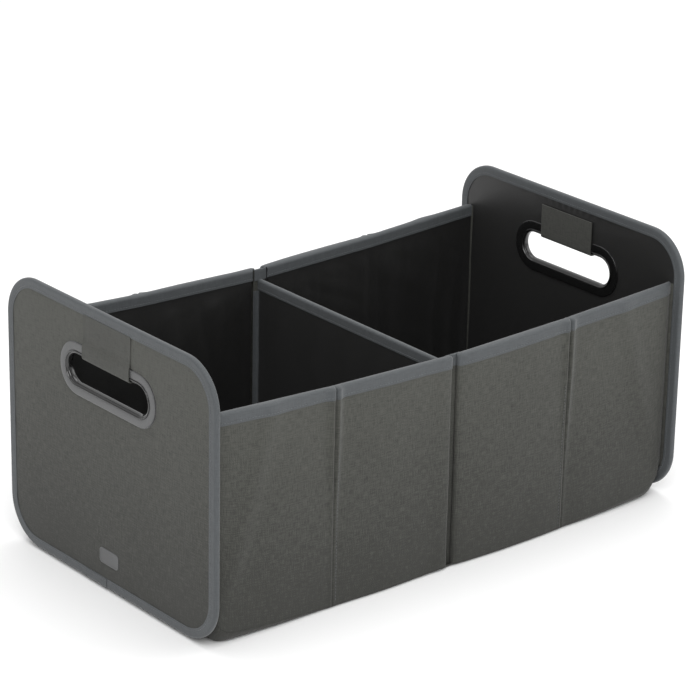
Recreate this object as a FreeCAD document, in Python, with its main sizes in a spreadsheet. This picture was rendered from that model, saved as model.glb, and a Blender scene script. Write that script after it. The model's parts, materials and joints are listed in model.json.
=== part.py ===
"""Collapsible storage crate: two stiff end panels, two walls that fold inward in four segments
each, a divider across the middle and a base board in each half.

The origin is on the ground under the middle of the crate. +X runs along its length, from the left
end to the right end, +Y goes to the back wall and +Z goes up. Every size is in millimetres.
"""
import FreeCAD, Part
import math
import os
import Sketcher

DIMENSIONS = [
    ("length", 585, "over the bindings of the two end panels"),
    ("width", 330, "of an end panel"),
    ("height", 280, "top of an end panel above the ground"),
    ("corner", 45, "corner radius of an end panel"),
    ("stand", 3.1, "bottom of the stiff panels above the ground, clear of a base board"),
    ("board", 3, "stiffener inside a panel"),
    ("cloth", 0.8, "cover or lining"),
    ("tape", 0.7, "thickness of the binding tape"),
    ("tape_width", 10, "binding seen on the face of an end panel"),
    ("wall_inset", 12.6, "outer face of a wall inside the edge of the end panels"),
    ("wall_top", 221, "top of the walls above the ground, beside the divider"),
    ("fold_lift", 3.5, "how much higher a wall is at its fold than beside the divider"),
    ("end_lift", 10, "how much higher a wall is at its end panel than beside the divider"),
    ("wall_tape", 12, "binding seen along the top of a wall"),
    ("end_rise", 13, "bottom of a wall above the ground where it meets an end panel"),
    ("end_round", 22, "radius of the lower corner of a wall at its end panel"),
    ("post", 9, "hinge line of a wall from the middle plane of the divider"),
    ("end_gap", 3, "hinge line of a wall from the lining of the end panel"),
    ("fold_proud", 1.1, "line of the inward fold outside the face of the wall"),
    ("set_back", 0.5, "end of a segment back from its fold line"),
    ("divider_top", 209.5, "top of the divider above the ground"),
    ("divider_foot", 0.9, "bottom of the divider above the ground"),
    ("divider_half", 147, "half of the width of the divider"),
    ("divider_tape", 11, "binding seen along the top of the divider"),
    ("strip_half", 8.2, "half of the width of the sewn strip in the middle of a wall"),
    ("strip", 1.2, "thickness of that strip"),
    ("strip_gap", 0.2, "strip beyond the edge of the divider"),
    ("floor", 0.7, "cloth under the base boards"),
    ("base_under", 0.9, "under side of a base board above the ground"),
    ("base", 1.9, "thickness of a base board"),
    ("base_near", 3.5, "near edge of a base board from the middle"),
    ("base_far", 273.5, "far edge of a base board from the middle"),
    ("base_half", 144.5, "half of the width of a base board"),
    ("base_corner", 22, "radius of the corners of a base board"),
    ("grip_level", 213, "middle of the hand hole above the ground"),
    ("grip_half", 63, "half of the length of the hand hole"),
    ("grip_radius", 14, "half of the height of the hand hole"),
    ("throat", 2.5, "wall of the grommet inside the hand hole"),
    ("throat_gap", 0.5, "play between the grommet and the panel"),
    ("flange", 13, "width of the grommet flange"),
    ("flange_thick", 1.5, "thickness of the grommet flange"),
    ("strap_half", 37, "half of the width of the grip strap"),
    ("strap", 1.2, "thickness of the grip strap"),
    ("strap_gap", 0.2, "play between the strap and what it lies on"),
    ("strap_tail", 262, "top of the loose end of the strap above the ground"),
    ("hook", 1, "thickness of the loop patch under the strap"),
    ("patch_foot", 242, "bottom of the loop patch above the ground"),
]

# Faces and lines that many pieces share, as expressions of the sheet.
SKIN = "(Sheet.length / 2 - Sheet.tape)"
CORE = "(2 * Sheet.cloth + Sheet.board)"
INNER = "(Sheet.length / 2 - Sheet.tape - 2 * Sheet.cloth - Sheet.board)"
WALL_OUT = "(Sheet.width / 2 - Sheet.wall_inset)"
WALL_IN = "(Sheet.width / 2 - Sheet.wall_inset - 2 * Sheet.cloth - Sheet.board)"
END_HINGE = "(" + INNER + " - Sheet.end_gap)"
FOLD = "((Sheet.post + " + END_HINGE + ") / 2)"
HOLE_TOP = "(Sheet.grip_level + Sheet.grip_radius)"
FLANGE_TOP = "(Sheet.grip_level + Sheet.grip_radius + Sheet.flange)"

doc = FreeCAD.newDocument("crate")
sheet = doc.addObject("Spreadsheet::Sheet", "Sheet")
for row, (alias, size, note) in enumerate(DIMENSIONS, start=1):
    sheet.set("A" + str(row), alias)
    sheet.set("B" + str(row), str(size))
    sheet.set("C" + str(row), note)
    sheet.setAlias("B" + str(row), alias)
doc.recompute()

nodes = []


def origin_plane(body, role):
    """The origin plane of a body, by its role."""
    return next(item for item in body.Origin.OriginFeatures if item.Role == role)


def new_body(label):
    body = doc.addObject("PartDesign::Body", label)
    body.Label = label
    return body


def new_sketch(body, role, name, lift=None):
    """A sketch on an origin plane of its own body, raised off it by an expression."""
    sketch = body.newObject("Sketcher::SketchObject", name)
    sketch.AttachmentSupport = [(origin_plane(body, role), "")]
    sketch.MapMode = "FlatFace"
    if lift:
        sketch.setExpression("AttachmentOffset.Base.z", lift)
    return sketch


def value_of(expression):
    return float(sheet.evalExpression(expression))


def bind(sketch, kind, *where_and_expression):
    """Add a dimension to a sketch and tie it to an expression."""
    *where, expression = where_and_expression
    index = sketch.addConstraint(Sketcher.Constraint(kind, *where, value_of(expression)))
    sketch.setExpression("Constraints[%d]" % index, expression)


def draw_polygon(sketch, points):
    """Straight sides through the points, each a pair of expressions."""
    spots = [FreeCAD.Vector(value_of(u), value_of(v), 0) for u, v in points]
    count = len(spots)
    for index in range(count):
        sketch.addGeometry(Part.LineSegment(spots[index], spots[(index + 1) % count]), False)
    for index in range(count):
        sketch.addConstraint(Sketcher.Constraint("Coincident", index, 2, (index + 1) % count, 1))
    for index, (u, v) in enumerate(points):
        bind(sketch, "DistanceX", -1, 1, index, 1, u)
        bind(sketch, "DistanceY", -1, 1, index, 1, v)


def draw_outline(sketch, corners, centres, radius):
    """A closed outline of arcs of one radius, joined by tangent sides.

    Each centre is a pair of expressions, anticlockwise from the lower right one, and turns the
    outline by a quarter, or by a half where there are only two. Corners says where the sides are
    held: (kind of dimension, index of a centre, expression).
    """
    sweep = 2 * math.pi / len(centres)
    size = value_of(radius)
    arcs = []
    for index, (u, v) in enumerate(centres):
        circle = Part.Circle(FreeCAD.Vector(value_of(u), value_of(v), 0), FreeCAD.Vector(0, 0, 1), size)
        start = index * sweep - math.pi / 2
        arcs.append(sketch.addGeometry(Part.ArcOfCircle(circle, start, start + sweep), False))
    sides = []
    for index, arc in enumerate(arcs):
        following = arcs[(index + 1) % len(arcs)]
        begin = sketch.getPoint(arc, 2)
        finish = sketch.getPoint(following, 1)
        sides.append(sketch.addGeometry(Part.LineSegment(begin, finish), False))
    for index, arc in enumerate(arcs):
        following = arcs[(index + 1) % len(arcs)]
        sketch.addConstraint(Sketcher.Constraint("Tangent", arc, 2, sides[index], 1))
        sketch.addConstraint(Sketcher.Constraint("Tangent", sides[index], 2, following, 1))
    for arc in arcs[1:]:
        sketch.addConstraint(Sketcher.Constraint("Equal", arcs[0], arc))
    bind(sketch, "Radius", arcs[0], radius)
    for kind, index, expression in corners:
        bind(sketch, kind, -1, 1, arcs[index], 3, expression)


def draw_slot(sketch, half_length, radius, level):
    """A level slot with round ends, over the middle of the sketch."""
    reach = f"({half_length} - {radius})"
    centres = [(reach, level), ("-" + reach, level)]
    held = [("DistanceX", 0, reach), ("DistanceX", 1, "-" + reach)]
    held += [("DistanceY", 0, level), ("DistanceY", 1, level)]
    draw_outline(sketch, held, centres, radius)


def draw_panel(sketch, inset):
    """The rounded outline of an end panel, inset all round."""
    radius = f"(Sheet.corner - {inset})"
    right = "(Sheet.width / 2 - Sheet.corner)"
    low = "(Sheet.stand + Sheet.corner)"
    high = "(Sheet.height - Sheet.corner)"
    centres = [(right, low), (right, high), ("-" + right, high), ("-" + right, low)]
    held = []
    for index, (u, v) in enumerate(centres):
        held += [("DistanceX", index, u), ("DistanceY", index, v)]
    draw_outline(sketch, held, centres, radius)


def pad(body, sketch, length, name="Pad"):
    feature = body.newObject("PartDesign::Pad", name)
    feature.Profile = sketch
    feature.setExpression("Length", length)
    return feature


def pocket_through(body, sketch, name="Hole"):
    """A pocket through the whole body, whichever side of its sketch the solid lies."""
    doc.recompute()
    before = body.Shape.Volume
    feature = body.newObject("PartDesign::Pocket", name)
    feature.Profile = sketch
    feature.Type = "ThroughAll"
    feature.Reversed = True
    doc.recompute()
    if body.Shape.isNull() or body.Shape.Volume > before - 1:
        feature.Reversed = False
        doc.recompute()
    if body.Shape.Volume > before - 1:
        raise RuntimeError(body.Label + ": the pocket cuts nothing")
    return feature


def round_corners(body, radius, chosen):
    """Round the edges of a body's last feature that the test chooses."""
    doc.recompute()
    slab = body.Tip
    names = []
    for index, edge in enumerate(slab.Shape.Edges, start=1):
        if chosen(edge.BoundBox):
            names.append("Edge" + str(index))
    rounding = body.newObject("PartDesign::Fillet", "Corners")
    rounding.Base = (slab, names)
    rounding.setExpression("Radius", radius)


def place(piece, x="0", y="0", z="0", turned=False):
    """Put a piece by expressions, or by the same ones half a turn round the crate's upright axis."""
    if turned:
        piece.Placement = FreeCAD.Placement(FreeCAD.Vector(), FreeCAD.Rotation(FreeCAD.Vector(0, 0, 1), 180))
    sign = "-1 * " if turned else ""
    piece.setExpression("Placement.Base.x", sign + x)
    piece.setExpression("Placement.Base.y", sign + y)
    piece.setExpression("Placement.Base.z", z)
    nodes.append(piece)


def bar(label, plane, points, length, x="0", y="0", z="0", turned=False):
    """A body of one section, padded from an origin plane and put in its place."""
    body = new_body(label)
    sketch = new_sketch(body, plane, "Section")
    draw_polygon(sketch, points)
    pad(body, sketch, length)
    place(body, x, y, z, turned)
    return body


def rectangle(u0, u1, v0, v1):
    return [(u0, v0), (u1, v0), (u1, v1), (u0, v1)]


def channel(inner, outer, foot, top):
    """The section of a tape folded over an edge that reaches from inner to outer."""
    low, high = f"({inner} - Sheet.tape)", f"({outer} + Sheet.tape)"
    under = f"({top} - Sheet.tape)"
    return [(low, foot), (inner, foot), (inner, under), (outer, under),
            (outer, foot), (high, foot), (high, top), (low, top)]


def end_layer(side, name, near, thickness):
    """One layer of an end panel: the rounded panel with its hand hole. Near is its inner face."""
    body = new_body(f"{side}_end_{name}")
    outline = new_sketch(body, "YZ_Plane", "Outline")
    draw_panel(outline, "Sheet.tape")
    pad(body, outline, thickness)
    hole = new_sketch(body, "YZ_Plane", "HandHole")
    play = "(Sheet.throat + Sheet.throat_gap)"
    draw_slot(hole, f"(Sheet.grip_half + {play})", f"(Sheet.grip_radius + {play})", "Sheet.grip_level")
    pocket_through(body, hole)
    place(body, x=near, turned=side == "left")


def end_binding(side):
    """The tape folded over the rim of an end panel: a frame less the panel that fills it."""
    frame = doc.addObject("PartDesign::Body", f"{side}_binding_frame")
    outline = new_sketch(frame, "YZ_Plane", "Outline")
    draw_panel(outline, "0")
    pad(frame, outline, f"({CORE} + 2 * Sheet.tape)")
    window = new_sketch(frame, "YZ_Plane", "Window")
    draw_panel(window, "Sheet.tape_width")
    pocket_through(frame, window, "Opening")
    filling = doc.addObject("PartDesign::Body", f"{side}_binding_filling")
    panel = new_sketch(filling, "YZ_Plane", "Panel")
    draw_panel(panel, "Sheet.tape")
    pad(filling, panel, CORE)
    filling.setExpression("Placement.Base.x", "Sheet.tape")
    binding = doc.addObject("Part::Cut", f"{side}_end_binding")
    binding.Base = frame
    binding.Tool = filling
    binding.Label = f"{side}_end_binding"
    place(binding, x=f"({INNER} - Sheet.tape)", turned=side == "left")


def grommet(side):
    """The moulded grommet: an outer flange with its throat, and an inner flange round the throat."""
    turned = side == "left"
    outer = new_body(f"{side}_grommet_outer")
    throat = new_sketch(outer, "YZ_Plane", "Throat")
    wide = ("(Sheet.grip_half + Sheet.throat)", "(Sheet.grip_radius + Sheet.throat)")
    broad = ("(Sheet.grip_half + Sheet.flange)", "(Sheet.grip_radius + Sheet.flange)")
    draw_slot(throat, *wide, "Sheet.grip_level")
    pad(outer, throat, f"({CORE} + 2 * Sheet.flange_thick)", "ThroatPad")
    flange = new_sketch(outer, "YZ_Plane", "Flange", lift=f"({CORE} + Sheet.flange_thick)")
    draw_slot(flange, *broad, "Sheet.grip_level")
    pad(outer, flange, "Sheet.flange_thick", "FlangePad")
    opening = new_sketch(outer, "YZ_Plane", "Opening")
    draw_slot(opening, "Sheet.grip_half", "Sheet.grip_radius", "Sheet.grip_level")
    pocket_through(outer, opening)
    place(outer, x=f"({INNER} - Sheet.flange_thick)", turned=turned)

    inner = new_body(f"{side}_grommet_inner")
    plate = new_sketch(inner, "YZ_Plane", "Flange")
    draw_slot(plate, *broad, "Sheet.grip_level")
    pad(inner, plate, "Sheet.flange_thick", "FlangePad")
    seat = new_sketch(inner, "YZ_Plane", "Seat")
    draw_slot(seat, *wide, "Sheet.grip_level")
    pocket_through(inner, seat)
    place(inner, x=f"({INNER} - Sheet.flange_thick)", turned=turned)


def grip_strap(side):
    """The strap over the grip: down the outside, in through the hand hole and up the inside."""
    turned = side == "left"
    broad = "(2 * Sheet.strap_half)"
    cover = f"({SKIN} + Sheet.strap_gap)"
    flange = f"({SKIN} + Sheet.flange_thick + Sheet.strap_gap)"
    bend = f"({FLANGE_TOP} + Sheet.flange_thick)"
    rise = f"({FLANGE_TOP} + 4 * Sheet.flange_thick)"
    top = "(Sheet.height - Sheet.tape_width - Sheet.strap_gap)"
    roof = f"({HOLE_TOP} - Sheet.strap_gap)"
    within = f"({INNER} - Sheet.flange_thick - Sheet.strap_gap - Sheet.strap)"
    thick = "Sheet.strap"
    outline = [(within, f"({roof} - {thick})"), (f"({flange} + {thick})", f"({roof} - {thick})"),
               (f"({flange} + {thick})", bend), (f"({cover} + {thick})", rise),
               (f"({cover} + {thick})", top), (cover, top), (cover, rise), (flange, bend),
               (flange, roof), (within, roof)]
    bar(f"{side}_strap_wrap", "XZ_Plane", outline, broad, y="Sheet.strap_half", turned=turned)
    tail = rectangle(within, f"({within} + {thick})", f"({HOLE_TOP} + Sheet.strap_gap)", "Sheet.strap_tail")
    bar(f"{side}_strap_tail", "XZ_Plane", tail, broad, y="Sheet.strap_half", turned=turned)
    patch = rectangle(f"({INNER} - Sheet.hook)", INNER, "Sheet.patch_foot", "Sheet.strap_tail")
    bar(f"{side}_loop_patch", "XZ_Plane", patch, broad, y="Sheet.strap_half", turned=turned)


def end_panel(side):
    end_layer(side, "lining", INNER, "Sheet.cloth")
    end_layer(side, "board", f"({INNER} + Sheet.cloth)", "Sheet.board")
    end_layer(side, "cover", f"({INNER} + Sheet.cloth + Sheet.board)", "Sheet.cloth")
    end_binding(side)
    grommet(side)
    grip_strap(side)


def wall_segment(side, wall, part):
    """A quarter of a wall: board, cover, lining and binding. The outer one rises to its end panel."""
    name = f"{side}_{wall}_{part}"
    if part == "inner":
        near, far = "(Sheet.post + Sheet.set_back)", f"({FOLD} - Sheet.set_back)"
        far_foot = "Sheet.stand"
        near_top, far_top = "Sheet.wall_top", "(Sheet.wall_top + Sheet.fold_lift)"
    else:
        near, far = f"({FOLD} + Sheet.set_back)", f"({END_HINGE} - Sheet.set_back)"
        far_foot = "Sheet.end_rise"
        near_top, far_top = "(Sheet.wall_top + Sheet.fold_lift)", "(Sheet.wall_top + Sheet.end_lift)"
    toward = "-1 * " if side == "left" else ""
    panel = [(toward + near, "Sheet.stand"), (toward + far, far_foot),
             (toward + far, f"({far_top} - Sheet.tape)"), (toward + near, f"({near_top} - Sheet.tape)")]
    layers = [("lining", f"({WALL_IN} + Sheet.cloth)", WALL_IN, "Sheet.cloth"),
              ("board", f"({WALL_OUT} - Sheet.cloth)", f"({WALL_IN} + Sheet.cloth)", "Sheet.board"),
              ("cover", WALL_OUT, f"({WALL_OUT} - Sheet.cloth)", "Sheet.cloth")]
    corner = (value_of(toward + far), value_of(far_foot))

    def is_lower_corner(box):
        level = box.XLength < 0.001 and box.ZLength < 0.001
        return level and abs(box.XMin - corner[0]) < 0.001 and abs(box.ZMin - corner[1]) < 0.001

    for layer, outer, inner, thickness in layers:
        reach = outer if wall == "back" else "-1 * " + inner
        body = bar(f"{name}_{layer}", "XZ_Plane", panel, thickness, y=reach)
        if part == "outer":
            round_corners(body, "Sheet.end_round", is_lower_corner)
    tops = [(toward + far, far_top), (toward + near, near_top)]
    wall_binding(name, wall, tops)


def wall_binding(name, wall, tops):
    """The tape folded over the sloping top of a wall segment: a band less the wall that fills it."""

    def band(drop):
        upper = [(along, f"({top} - {drop})") for along, top in tops]
        lower = [(along, f"({top} - Sheet.wall_tape)") for along, top in reversed(tops)]
        return upper + lower

    def solid(label, drop, thickness, y):
        body = new_body(label)
        sketch = new_sketch(body, "XZ_Plane", "Band")
        draw_polygon(sketch, band(drop))
        pad(body, sketch, thickness)
        body.setExpression("Placement.Base.y", y)
        return body

    broad = f"({WALL_OUT} - {WALL_IN})"
    face = WALL_OUT if wall == "back" else f"-1 * {WALL_IN}"
    binding = doc.addObject("Part::Cut", f"{name}_binding")
    binding.Base = solid(f"{name}_binding_frame", "0", f"({broad} + 2 * Sheet.tape)", f"({face} + Sheet.tape)")
    binding.Tool = solid(f"{name}_binding_filling", "Sheet.tape", broad, face)
    binding.Label = f"{name}_binding"
    place(binding)


def divider():
    """The divider, with the sewn strips that hold it to the middle of both walls."""
    half = "(Sheet.board / 2)"
    face = "(Sheet.board / 2 + Sheet.cloth)"
    top = "(Sheet.divider_top - Sheet.tape)"
    broad = "(2 * Sheet.divider_half)"
    side = "Sheet.divider_half"
    bar("divider_board", "XZ_Plane", rectangle("-" + half, half, "Sheet.divider_foot", top), broad, y=side)
    bar("divider_left_lining", "XZ_Plane",
        rectangle("-" + face, "-" + half, "Sheet.divider_foot", top), broad, y=side)
    bar("divider_right_lining", "XZ_Plane",
        rectangle(half, face, "Sheet.divider_foot", top), broad, y=side)
    tape = channel("-" + face, face, "(Sheet.divider_top - Sheet.divider_tape)", "Sheet.divider_top")
    bar("divider_binding", "XZ_Plane", tape, broad, y=side)
    near = f"({side} + Sheet.strip_gap)"
    strip = rectangle("-Sheet.strip_half", "Sheet.strip_half", "Sheet.divider_foot", "Sheet.wall_top")
    bar("front_centre_strip", "XZ_Plane", strip, "Sheet.strip", y=f"-1 * {near}")
    bar("back_centre_strip", "XZ_Plane", strip, "Sheet.strip", y=f"({near} + Sheet.strip)")


def base_board(side):
    """A base board with its two far corners rounded."""
    turned = side == "left"
    body = new_body(f"{side}_base_board")
    sketch = new_sketch(body, "XY_Plane", "Outline")
    half = "Sheet.base_half"
    draw_polygon(sketch, rectangle("Sheet.base_near", "Sheet.base_far", "-" + half, half))
    pad(body, sketch, "Sheet.base")
    far = value_of("Sheet.base_far")

    def is_far_corner(box):
        return box.ZLength > 1 and box.XLength < 0.001 and abs(box.XMin - far) < 0.001

    round_corners(body, "Sheet.base_corner", is_far_corner)
    place(body, z="Sheet.base_under", turned=turned)


def floor_cloth(side):
    far = "Sheet.base_far"
    near = "0"
    across = (near, far) if side == "right" else ("-" + far, near)
    cloth = rectangle(*across, "0", "Sheet.floor")
    bar(f"{side}_floor_cloth", "XZ_Plane", cloth, f"(2 * {WALL_OUT})", y=WALL_OUT)


for half in ("left", "right"):
    end_panel(half)
    for wall in ("front", "back"):
        for part in ("inner", "outer"):
            wall_segment(half, wall, part)
    base_board(half)
    floor_cloth(half)
divider()
doc.recompute()

for item in doc.Objects:
    if "Invalid" in item.State or "Error" in item.State:
        raise RuntimeError(f"{item.Label} failed: {item.State}")
for node in nodes:
    if node.Shape.isNull() or not node.Shape.isValid():
        raise RuntimeError(f"{node.Label} has no valid shape")

os.makedirs("parts", exist_ok=True)
for node in nodes:
    node.Shape.exportStep(f"parts/{node.Label}.step")
print(len(nodes), "nodes written")
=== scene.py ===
# %% [markdown]
# # A collapsible storage crate
# The crate is two stiff end panels, two walls that fold inward, a divider and two base boards, all
# covered in cloth. The boards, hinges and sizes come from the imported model, which is loaded first.
# What is made here is the cloth, the tape, the thread and the grommets, each laid on that frame.

import json
import math

import bpy
from mathutils import Matrix, Vector, noise

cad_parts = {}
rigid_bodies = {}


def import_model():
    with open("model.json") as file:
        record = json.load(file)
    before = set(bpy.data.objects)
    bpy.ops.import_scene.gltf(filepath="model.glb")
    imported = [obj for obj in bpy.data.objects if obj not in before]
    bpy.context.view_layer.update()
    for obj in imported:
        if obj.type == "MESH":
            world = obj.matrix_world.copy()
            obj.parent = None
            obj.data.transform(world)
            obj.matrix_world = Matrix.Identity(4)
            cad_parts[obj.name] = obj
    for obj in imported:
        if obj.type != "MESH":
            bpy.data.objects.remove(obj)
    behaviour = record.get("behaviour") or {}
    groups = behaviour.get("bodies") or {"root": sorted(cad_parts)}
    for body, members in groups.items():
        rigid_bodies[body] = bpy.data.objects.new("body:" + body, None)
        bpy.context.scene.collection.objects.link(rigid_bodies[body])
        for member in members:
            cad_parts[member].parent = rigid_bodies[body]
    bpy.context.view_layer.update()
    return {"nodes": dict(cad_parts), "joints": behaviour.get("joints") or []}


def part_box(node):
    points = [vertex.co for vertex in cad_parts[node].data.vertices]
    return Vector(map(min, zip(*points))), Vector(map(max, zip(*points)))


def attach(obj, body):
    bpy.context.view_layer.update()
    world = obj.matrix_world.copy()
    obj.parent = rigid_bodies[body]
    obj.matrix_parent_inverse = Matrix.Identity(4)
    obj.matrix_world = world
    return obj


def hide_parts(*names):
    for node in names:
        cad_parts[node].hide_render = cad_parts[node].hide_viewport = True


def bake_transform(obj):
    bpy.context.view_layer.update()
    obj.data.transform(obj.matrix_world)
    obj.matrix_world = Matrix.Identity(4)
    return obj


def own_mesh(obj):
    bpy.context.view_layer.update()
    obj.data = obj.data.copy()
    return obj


bpy.ops.object.select_all(action="SELECT")
bpy.ops.object.delete()
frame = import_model()
MM = 0.001

# %% [markdown]
# ## Places taken from the frame
# Every piece is laid on the boards, so its place is read from them: the faces of an end panel, the
# faces and edges of a wall, and the three upright lines on which a wall folds. The crate is the same
# to the left and right and to the front and back, so the right half and the back wall are enough.

# %% Read the faces and the fold lines
END_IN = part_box("right_end_lining")[0].x
END_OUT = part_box("right_end_cover")[1].x
RIM_IN, RIM_OUT = (corner.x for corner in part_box("right_end_binding"))
RIM_FOOT, RIM_TOP = (corner.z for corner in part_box("right_end_binding"))
HALF_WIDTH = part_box("right_end_binding")[1].y
WALL_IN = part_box("right_back_inner_lining")[0].y
WALL_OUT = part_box("right_back_inner_cover")[1].y
WALL_TOP, FOLD_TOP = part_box("back_centre_strip")[1].z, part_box("right_back_inner_binding")[1].z
END_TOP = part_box("right_back_outer_binding")[1].z
WALL_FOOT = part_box("right_back_inner_board")[0].z
grip_low, grip_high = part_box("right_grommet_outer")
GRIP = (grip_low + grip_high) / 2
FLANGE = 13 * MM
HOLE_HALF = (grip_high.y - grip_low.y) / 2 - FLANGE
HOLE_RADIUS = (grip_high.z - grip_low.z) / 2 - FLANGE
DIVIDER_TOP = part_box("divider_binding")[1].z
DIVIDER_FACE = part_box("divider_right_lining")[1].x
DIVIDER_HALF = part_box("divider_board")[1].y
STRAP_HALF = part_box("right_strap_tail")[1].y
PIVOT = {joint["name"]: Vector(joint["pos_m"]) for joint in frame["joints"]}
POST = PIVOT["right_fold"].x
FOLD = PIVOT["right_front_outer_fold"].x
HINGE = PIVOT["right_end_hinge"].x
CORNER = 45 * MM
print("fold lines at", [round(line / MM, 1) for line in (POST, FOLD, HINGE)], "mm from the middle")

# %% [markdown]
# ## Camera, floor and light
# The crate is seen from its left front corner with a long lens, a little from above, on a pale floor
# in soft even light. A long lens keeps the upright edges nearly parallel.

# %% Set up the studio
TARGET = Vector((-23, -25, 191.5)) * MM
CAMERA_TURN, CAMERA_RISE, CAMERA_ROLL = math.radians(39.93), math.radians(21.37), math.radians(1.15)
CAMERA_DISTANCE = 2.971
LENS = 157.6
FLOOR_COLOR = (0.92, 0.92, 0.92, 1)
SKY_STRENGTH = 0.75


def add_camera():
    level = math.cos(CAMERA_RISE)
    forward = Vector((math.sin(CAMERA_TURN) * level, math.cos(CAMERA_TURN) * level, -math.sin(CAMERA_RISE)))
    bpy.ops.object.camera_add(location=TARGET - forward * CAMERA_DISTANCE)
    camera = bpy.context.object
    turned = forward.to_track_quat("-Z", "Y").to_matrix() @ Matrix.Rotation(CAMERA_ROLL, 3, "Z")
    camera.rotation_euler = turned.to_euler()
    camera.data.lens = LENS
    camera.data.clip_end = 50
    bpy.context.scene.camera = camera


def add_area_light(name, place, size, power):
    bpy.ops.object.light_add(type="AREA", location=place)
    light = bpy.context.object
    light.name = name
    light.data.size = size
    light.data.energy = power
    light.rotation_euler = (Vector((0, 0, 0.1)) - Vector(place)).to_track_quat("-Z", "Y").to_euler()


def add_floor():
    bpy.ops.mesh.primitive_plane_add(size=14, location=(0, 0, 0))
    floor = bpy.context.object
    floor.name = "floor"
    paint = bpy.data.materials.new("pale_floor")
    paint.use_nodes = True
    shader = paint.node_tree.nodes["Principled BSDF"]
    shader.inputs["Base Color"].default_value = FLOOR_COLOR
    shader.inputs["Roughness"].default_value = 0.9
    floor.data.materials.append(paint)


add_camera()
add_area_light("key_light", (-1.6, -2.2, 2.6), 2.2, 62)
add_area_light("fill_light", (2.6, -1.4, 1.8), 2.4, 26)
add_area_light("top_light", (0.2, 0.6, 3.0), 2.6, 40)
add_floor()
world = bpy.context.scene.world or bpy.data.worlds.new("studio")
bpy.context.scene.world = world
world.use_nodes = True
world.node_tree.nodes["Background"].inputs["Color"].default_value = (1, 1, 1, 1)
world.node_tree.nodes["Background"].inputs["Strength"].default_value = SKY_STRENGTH
bpy.context.scene.view_settings.view_transform = "Standard"

# %% [markdown]
# ## Shared effects for the cloth
# All the cloth is woven, so a thread pattern is made once as a node group and set finer or coarser
# for each cloth. It reads the piece's own UV map, which is laid out in metres, so that the threads
# follow the cloth round every edge. A second group makes the uneven, slightly streaky look of dyed
# yarn, and a third the soft blotches that any surface has.

# %% Node helpers


def link(tree, start, finish):
    tree.links.new(start, finish)


def new_group(name, inputs, outputs):
    """A shader node group with named value or vector sockets."""
    group = bpy.data.node_groups.new(name, "ShaderNodeTree")
    for label, kind, default in inputs:
        socket = group.interface.new_socket(name=label, in_out="INPUT", socket_type=kind)
        if default is not None:
            socket.default_value = default
    for label, kind in outputs:
        group.interface.new_socket(name=label, in_out="OUTPUT", socket_type=kind)
    return group, group.nodes.new("NodeGroupInput"), group.nodes.new("NodeGroupOutput")


def math_node(tree, operation, first, second=None):
    """A Math node: each of its two values is a socket or a number."""
    node = tree.nodes.new("ShaderNodeMath")
    node.operation = operation
    for index, value in enumerate((first, second)):
        if value is None:
            continue
        if isinstance(value, (int, float)):
            node.inputs[index].default_value = value
        else:
            link(tree, value, node.inputs[index])
    return node.outputs[0]


def times(tree, first, second):
    return math_node(tree, "MULTIPLY", first, second)


def plus(tree, first, second):
    return math_node(tree, "ADD", first, second)


def separate(tree, vector):
    """The X, Y and Z outputs of a vector."""
    node = tree.nodes.new("ShaderNodeSeparateXYZ")
    link(tree, vector, node.inputs[0])
    return node.outputs


def stretched_noise(tree, vector, scales, detail=2):
    """A noise pattern, finer or longer along each axis by its scale."""
    scaled = tree.nodes.new("ShaderNodeVectorMath")
    scaled.operation = "MULTIPLY"
    link(tree, vector, scaled.inputs[0])
    scaled.inputs[1].default_value = scales
    pattern = tree.nodes.new("ShaderNodeTexNoise")
    pattern.inputs["Scale"].default_value = 1
    pattern.inputs["Detail"].default_value = detail
    link(tree, scaled.outputs[0], pattern.inputs["Vector"])
    return pattern.outputs[0]


# %% Group: the threads of a plain weave


def make_weave_group():
    """Height of a plain weave. Threads per metre run along U and along V."""
    sockets = [("UV", "NodeSocketVector", None), ("Across", "NodeSocketFloat", 1400.0),
               ("Along", "NodeSocketFloat", 1400.0)]
    group, enter, leave = new_group("plain_weave", sockets, [("Height", "NodeSocketFloat")])
    place = separate(group, enter.outputs["UV"])
    waves = []
    for axis, count in (("X", "Across"), ("Y", "Along")):
        turns = times(group, place[axis], enter.outputs[count])
        waves.append(math_node(group, "SINE", times(group, turns, math.pi)))
    crossed = times(group, waves[0], waves[1])
    link(group, plus(group, times(group, crossed, 0.5), 0.5), leave.inputs["Height"])
    return group


WEAVE = make_weave_group()

# %% Group: uneven yarn


def make_yarn_group():
    """Streaks along both thread directions, from 0 to 1, with a mean near a half."""
    group, enter, leave = new_group(
        "uneven_yarn", [("UV", "NodeSocketVector", None)], [("Tone", "NodeSocketFloat")])
    upright = stretched_noise(group, enter.outputs["UV"], (900, 110, 1))
    level = stretched_noise(group, enter.outputs["UV"], (110, 900, 1))
    link(group, times(group, plus(group, upright, level), 0.5), leave.inputs["Tone"])
    return group


YARN = make_yarn_group()

# %% Group: soft blotches


def make_blotch_group():
    """Large and small blotches from 0 to 1, on the piece's own coordinates."""
    group, enter, leave = new_group(
        "blotches", [("Place", "NodeSocketVector", None), ("Size", "NodeSocketFloat", 12.0)],
        [("Large", "NodeSocketFloat"), ("Small", "NodeSocketFloat")])
    for label, factor in (("Large", 1.0), ("Small", 40.0)):
        pattern = group.nodes.new("ShaderNodeTexNoise")
        link(group, enter.outputs["Place"], pattern.inputs["Vector"])
        link(group, times(group, enter.outputs["Size"], factor), pattern.inputs["Scale"])
        pattern.inputs["Detail"].default_value = 3
        link(group, pattern.outputs[0], leave.inputs[label])
    return group


BLOTCHES = make_blotch_group()

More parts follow.
